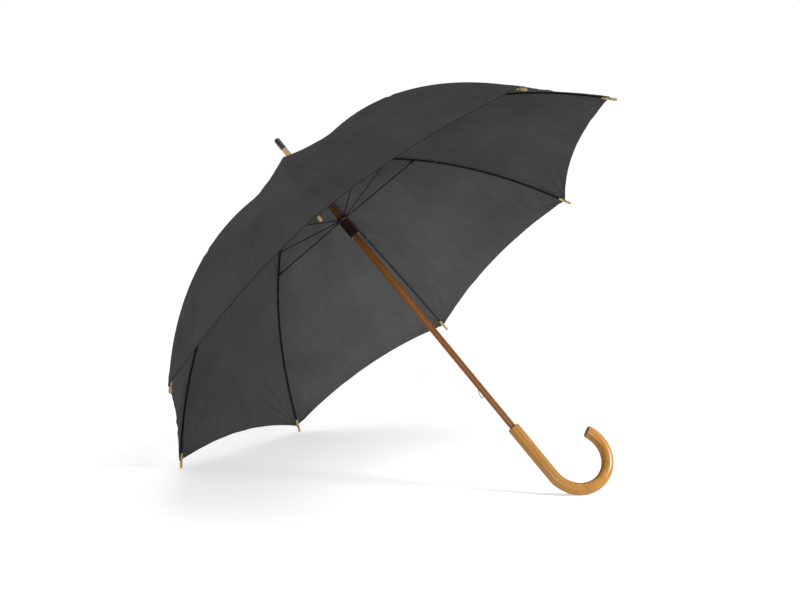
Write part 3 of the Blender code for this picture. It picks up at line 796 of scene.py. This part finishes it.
# ---------------------------------------------------------------- fastenings of the cloth
def make_tie(rib):
    """A black thread wound three times round the rib, with two short tails."""
    wide, high = 2.0 * MM, 1.9 * MM
    turns = 3
    count = 16
    path = []
    up = (above_rib(TIE_ARC, 1) - above_rib(TIE_ARC, 0)).normalized()
    for step in range(turns * count + 1):
        angle = math.tau * step / count
        base = above_rib(TIE_ARC + (step / count - turns / 2) * 1.0 * MM, 0)
        sideways = Vector((0, wide * math.cos(angle), 0))
        path.append(base + sideways + up * (high * math.sin(angle) + 0.3 * MM))
    matrix = placed(azimuth_of(rib))
    winding = tube(f"tie_{rib}", path, 0.5 * MM, BLACK_THREAD, matrix, sides=10)
    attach(winding, f"rib_tail_{rib}")
    below = above_rib(TIE_ARC, -2.3 * MM)
    along = (above_rib(TIE_ARC + MM, 0) - above_rib(TIE_ARC, 0)).normalized()
    down = (above_rib(TIE_ARC, -1) - above_rib(TIE_ARC, 0)).normalized()
    for sign, word, reach in ((1, "long", 8 * MM), (-1, "short", 6 * MM)):
        route = [
            below - along * sign * 0.8 * MM,
            below + along * sign * 0.25 * reach + down * 0.9 * MM + Vector((0, sign * 0.4 * MM, 0)),
            below + along * sign * 0.65 * reach + down * 1.5 * MM + Vector((0, sign * 1.2 * MM, 0)),
            below + along * sign * reach + down * 1.1 * MM + Vector((0, sign * 1.5 * MM, 0)),
        ]
        path = smooth_path(route, 6)
        radii = [0.55 * MM * (1 - 0.35 * index / len(path)) for index in range(len(path))]
        tail = tube(f"tie_tail_{word}_{rib}", path, radii, BLACK_THREAD, matrix, sides=8)
        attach(tail, f"rib_tail_{rib}")


def peg_matrix(rib):
    """From a peg drawn down -Z from its inner end to the frame."""
    base = above_rib(RIB_LENGTH - PEG_LENGTH, 0)
    ahead = (above_rib(RIB_LENGTH - PEG_LENGTH + MM, 0) - base).normalized()
    turn = Vector((0, 0, -1)).rotation_difference(ahead).to_matrix().to_4x4()
    return placed(azimuth_of(rib)) @ Matrix.Translation(base) @ turn


def make_peg(rib):
    """A turned wooden tip: bored for the rib, with a neck for the corner's thread."""
    bore, depth = 1.9 * MM, 9.5 * MM
    profile = rounded(
        [
            (0, depth),
            (bore, depth),
            (bore, 0),
            (PEG_RADIUS - 0.3 * MM, 0),
            (PEG_RADIUS, 2.2 * MM),
            (PEG_RADIUS, 11.6 * MM),
            (PEG_RADIUS - 1.0 * MM, 13.0 * MM),
            (PEG_RADIUS - 1.0 * MM, 15.2 * MM),
            (PEG_RADIUS, 16.6 * MM),
            (PEG_RADIUS, 24.5 * MM),
            (PEG_RADIUS - 0.7 * MM, 27.2 * MM),
            (PEG_RADIUS - 1.8 * MM, PEG_LENGTH),
            (0, PEG_LENGTH),
        ],
        0.5 * MM,
    )
    peg = turned(f"wooden_tip_{rib}", profile, PEG_WOOD, matrix=peg_matrix(rib), segments=28)
    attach(peg, f"rib_tail_{rib}")
    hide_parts(f"peg_{rib}")


def make_corner_thread(rib):
    """Thread that sews the canopy's corner into the neck of the peg."""
    count = 14
    turns = 3
    radius = 1.95 * MM
    path = []
    for step in range(turns * count + 1):
        angle = math.tau * step / count
        drop = 13.2 * MM + 1.8 * MM * step / (turns * count)
        path.append((radius * math.cos(angle), radius * math.sin(angle), -drop))
    matrix = peg_matrix(rib)
    winding = tube(f"corner_thread_{rib}", path, 0.32 * MM, BLACK_THREAD, matrix, sides=8)
    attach(winding, f"rib_tail_{rib}")
    top = PEG_OFFSET + 0.1 * MM
    for sign, word in ((1, "left"), (-1, "right")):
        route = [
            (0.9 * MM + sign * 0.2 * MM, sign * 1.7 * MM, -14.2 * MM),
            (1.9 * MM, sign * 1.5 * MM, -13.8 * MM),
            (top - 0.4 * MM, sign * 1.2 * MM, -13.0 * MM),
            (top + 0.2 * MM, sign * 0.9 * MM, -11.0 * MM),
            (top - 0.3 * MM, sign * 0.5 * MM, -10.0 * MM),
        ]
        path = smooth_path(route, 5)
        stitch = tube(f"corner_stitch_{word}_{rib}", path, 0.28 * MM, BLACK_THREAD, matrix, sides=8)
        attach(stitch, f"rib_tail_{rib}")


# ---------------------------------------------------------------- stick
def make_shaft():
    """The turned rod, slimmer in the ferrule and in its cap, with a slot for each catch."""
    tenon, tenon_end = 4.2 * MM, 7.0 * MM
    profile = rounded(
        [
            (0, tenon_end),
            (tenon, tenon_end),
            (tenon, CAP_END - 0.4 * MM),
            (FERRULE_RADIUS, CAP_END + 0.3 * MM),
            (SHAFT_RADIUS, CROWN - 14 * MM),
            (SHAFT_RADIUS, BORE_END),
            (0, BORE_END),
        ],
        0.3 * MM,
    )
    shaft = turned("varnished_shaft", profile, SHAFT_WOOD)
    slots = ((TOP_SLOT, TOP_SPRING_AZIMUTH), (BOTTOM_SLOT, BOTTOM_SPRING_AZIMUTH))
    for (start, end), azimuth in slots:
        low = (-2.6 * MM, -1.1 * MM, -end)
        high = (12 * MM, 1.1 * MM, -start)
        cut_box(shaft, low, high, azimuth, bevel=1.0 * MM)
    # painted light: the faces ahead of the crown, outside the canopy, take the lighter copy of the
    # shaft's wood
    shaft.data.materials.append(FERRULE_WOOD_PAINTED_LIGHT)
    along = LYING.inverted()
    for face in shaft.data.polygons:
        station = -(along @ face.center).z
        face.material_index = 1 if station < CROWN - 4 * MM else 0
    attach(shaft, "stick")
    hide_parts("shaft")


def make_cap():
    """The glossy cap: a blunt rounded nose and a straight skirt, hollow for the shaft."""
    profile = [(0, 0)]
    nose = 5.0 * MM
    steps = 12
    for step in range(1, steps + 1):
        angle = math.pi / 2 * step / steps
        profile.append((CAP_RADIUS * math.sin(angle) ** 0.8, nose * (1 - math.cos(angle))))
    profile += rounded(
        [
            (CAP_RADIUS, nose + MM),
            (CAP_RADIUS, CAP_END - 0.6 * MM),
            (CAP_RADIUS - 0.6 * MM, CAP_END),
            (4.5 * MM, CAP_END - 0.5 * MM),
            (4.5 * MM, 6.7 * MM),
            (0, 6.7 * MM),
        ],
        0.4 * MM,
    )
    cap = turned("ferrule_cap_gloss", profile, CAP_BLACK)
    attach(cap, "stick")
    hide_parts("ferrule_cap")


def make_rosette():
    """A turned cap that closes the canopy's centre hole."""
    base = CROWN - 2.6 * MM - 1.0 * MM - 0.6 * MM  # clear of the collar and the cloth
    inner = SHAFT_RADIUS + BORE_PLAY
    profile = rounded(
        [
            (inner, base - 7.0 * MM),
            (7.2 * MM, base - 7.0 * MM),
            (8.0 * MM, base - 6.2 * MM),
            (8.3 * MM, base - 4.4 * MM),
            (9.0 * MM, base - 4.0 * MM),
            (10.4 * MM, base - 1.6 * MM),
            (11.0 * MM, base - 1.2 * MM),
            (11.0 * MM, base),
            (inner, base),
        ],
        0.35 * MM,
    )
    profile.append(profile[0])
    rosette = turned("rosette_gloss", profile, CAP_BLACK)
    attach(rosette, "stick")
    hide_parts("crown_rosette")


def make_runner():
    """The moulded runner: a notched collar for the stretchers' eyes above a slotted tube."""
    pivots = 2 * rib_line(JOINT_ARC)[1] - CROWN
    top = pivots - 1.9 * MM
    bottom = pivots + RUNNER_LENGTH
    bore = SHAFT_RADIUS + BORE_PLAY
    profile = rounded(
        [
            (bore, top),
            (COLLAR_RADIUS, top),
            (COLLAR_RADIUS, pivots + 4.2 * MM),
            (RUNNER_TUBE_RADIUS, pivots + 5.4 * MM),
            (RUNNER_TUBE_RADIUS, bottom),
            (bore, bottom),
        ],
        0.5 * MM,
    )
    profile.append(profile[0])
    runner = turned("runner_moulding", profile, RUNNER_BROWN)
    for rib in range(1, RIBS + 1):
        low = (7.6 * MM, -1.0 * MM, -pivots - 2.0 * MM)
        high = (14 * MM, 1.0 * MM, -top + MM)
        cut_box(runner, low, high, azimuth_of(rib))
    low = (0, -1.6 * MM, -pivots - WINDOW[1])
    high = (14 * MM, 1.6 * MM, -pivots - WINDOW[0])
    cut_box(runner, low, high, BOTTOM_SPRING_AZIMUTH, bevel=1.2 * MM)
    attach(runner, "runner")
    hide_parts("runner")


def crook_path():
    """Centre line of the handle, with the share of its radius at each point."""
    path = []
    top_rounding, top_steps = 1.6 * MM, 6
    for step in range(top_steps + 1):
        angle = math.pi / 2 * step / top_steps
        run = top_rounding * (1 - math.cos(angle))
        path.append((Vector((0, 0, -HANDLE_TOP - run)), 1 - 0.16 * (1 - math.sin(angle))))
    first = HANDLE_TOP + run
    straight_steps = 24
    for step in range(1, straight_steps):
        station = first + (BEND_START - first) * step / straight_steps
        path.append((Vector((0, 0, -station)), 1.0))
    bend_length = BEND_RADIUS * BEND_ANGLE
    end_rounding, end_steps = 4.5 * MM, 8
    ease = []
    for step in range(end_steps):
        angle = math.pi / 2 * step / end_steps
        run = end_rounding * (1 - math.sin(angle))
        ease.append((1 - run / bend_length, 0.45 + 0.55 * math.cos(angle) ** 0.5))
    bend_steps = 90
    bend = [(step / bend_steps, 1.0) for step in range(bend_steps)]
    bend = [entry for entry in bend if entry[0] < ease[0][0]] + ease + [(1.0, 0.42)]
    for share_of_bend, share in bend:
        angle = BEND_ANGLE * share_of_bend
        reach = BEND_RADIUS * (1 - math.cos(angle))
        path.append((Vector((reach, 0, -(BEND_START + BEND_RADIUS * math.sin(angle)))), share))
    return path


def darken_ends(mesh, sides, rings):
    """Darker wood on both end faces and the rings beside them."""
    mesh.materials.append(DARKER_HANDLE_ENDS)
    walls = len(mesh.polygons) - 2
    for face in mesh.polygons:
        if face.index < rings * sides or face.index >= walls - rings * sides:
            face.material_index = 1


def make_handle():
    """The crook: a straight grip that bends round into a hook, with rounded ends."""
    path = crook_path()
    points = [point for point, _ in path]
    radii = [HANDLE_RADIUS * share for _, share in path]
    handle = tube("crook_handle", points, radii, HANDLE_WOOD, placed(HOOK_AZIMUTH), HANDLE_SIDES)
    darken_ends(handle.data, HANDLE_SIDES, 4)
    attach(handle, "stick")
    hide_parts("handle")


# ---------------------------------------------------------------- carried-over CAD nodes
def repaint():
    """Better materials on the CAD nodes whose shapes stay."""
    finishes = {
        "crown_collar": RUNNER_BROWN,
        # the wires and springs take the darkened wire colour: painted shade
        "crown_wire": WIRE_STEEL_PAINTED_SHADE,
        "runner_wire": WIRE_STEEL_PAINTED_SHADE,
        "top_spring": WIRE_STEEL_PAINTED_SHADE,
        "bottom_spring": WIRE_STEEL_PAINTED_SHADE,
    }
    for rib in range(1, RIBS + 1):
        for part in ("rib_inner", "rib_outer", "stretcher"):
            finishes[f"{part}_{rib}"] = BLACK_STEEL
    for name, material in finishes.items():
        node = frame["nodes"][name]
        node.data.materials.clear()
        node.data.materials.append(material)


# ---------------------------------------------------------------- floor, light, camera
def make_floor():
    mesh = bpy.data.meshes.new("floor")
    work = bmesh.new()
    bmesh.ops.create_grid(work, x_segments=1, y_segments=1, size=30)
    work.to_mesh(mesh)
    work.free()
    white = new_material("floor_white", (0.93, 0.93, 0.93), 0.9, emission_strength=0.38)
    white.node_tree.nodes["Principled BSDF"].inputs["Emission Color"].default_value = (1, 1, 1, 1)
    add_object("floor", mesh, white)


def add_sun(name, towards, strength, spread):
    """A soft light from far away; towards points from the umbrella to the light."""
    light = bpy.data.lights.new(name, "SUN")
    light.energy = strength
    light.angle = math.radians(spread)
    item = bpy.data.objects.new(name, light)
    item.rotation_mode = "QUATERNION"
    item.rotation_quaternion = Vector(towards).to_track_quat("Z", "Y")
    bpy.context.scene.collection.objects.link(item)


def add_lamp(name, location, target, size, power, spread):
    """A round softbox near the umbrella, aimed at a target."""
    light = bpy.data.lights.new(name, "AREA")
    light.shape = "DISK"
    light.size = size
    light.energy = power
    light.spread = math.radians(spread)
    item = bpy.data.objects.new(name, light)
    item.location = location
    item.rotation_mode = "QUATERNION"
    item.rotation_quaternion = (Vector(target) - Vector(location)).to_track_quat("-Z", "Y")
    bpy.context.scene.collection.objects.link(item)


def make_lights():
    """A white studio: the backdrop shows white, and lights the umbrella less."""
    world = bpy.data.worlds.new("studio")
    world.use_nodes = True
    nodes = world.node_tree.nodes
    path = nodes.new("ShaderNodeLightPath")
    strength = nodes.new("ShaderNodeMapRange")
    strength.inputs["To Min"].default_value = 0.36
    strength.inputs["To Max"].default_value = 1.0
    background = nodes["Background"]
    background.inputs["Color"].default_value = (1, 1, 1, 1)
    world.node_tree.links.new(path.outputs["Is Camera Ray"], strength.inputs["Value"])
    world.node_tree.links.new(strength.outputs["Result"], background.inputs["Strength"])
    bpy.context.scene.world = world
    add_sun("key", (0.33, -0.93, 0.08), 3.5, 40)
    add_sun("top", (0.25, 0.1, 1.0), 0.8, 50)
    add_lamp("inside", (1.3, -0.9, 0.25), (-0.15, 0.3, 0.3), 0.3, 0.55, 24)
    add_lamp("edge", (0.80, 0.20, 0.36), (0.35, 0.05, 0.10), 0.2, 1.8, 90)
    bpy.context.scene.view_settings.view_transform = "Standard"


def make_camera():
    data = bpy.data.cameras.new("camera")
    data.lens = LENS
    data.sensor_width = SENSOR
    data.clip_end = 100
    camera = bpy.data.objects.new("camera", data)
    forward = Vector(CAMERA_FORWARD).normalized()
    right = forward.cross(Vector(CAMERA_UP)).normalized()
    up = right.cross(forward)
    turn = Matrix((right, up, -forward)).transposed().to_4x4()
    camera.matrix_world = Matrix.Translation(CAMERA_PLACE) @ turn
    bpy.context.scene.collection.objects.link(camera)
    bpy.context.scene.camera = camera


make_floor()
make_lights()
make_camera()
make_canopy()
for rib in range(1, RIBS + 1):
    make_tie(rib)
    make_peg(rib)
    make_corner_thread(rib)
make_shaft()
make_cap()
make_rosette()
make_runner()
make_handle()
repaint()
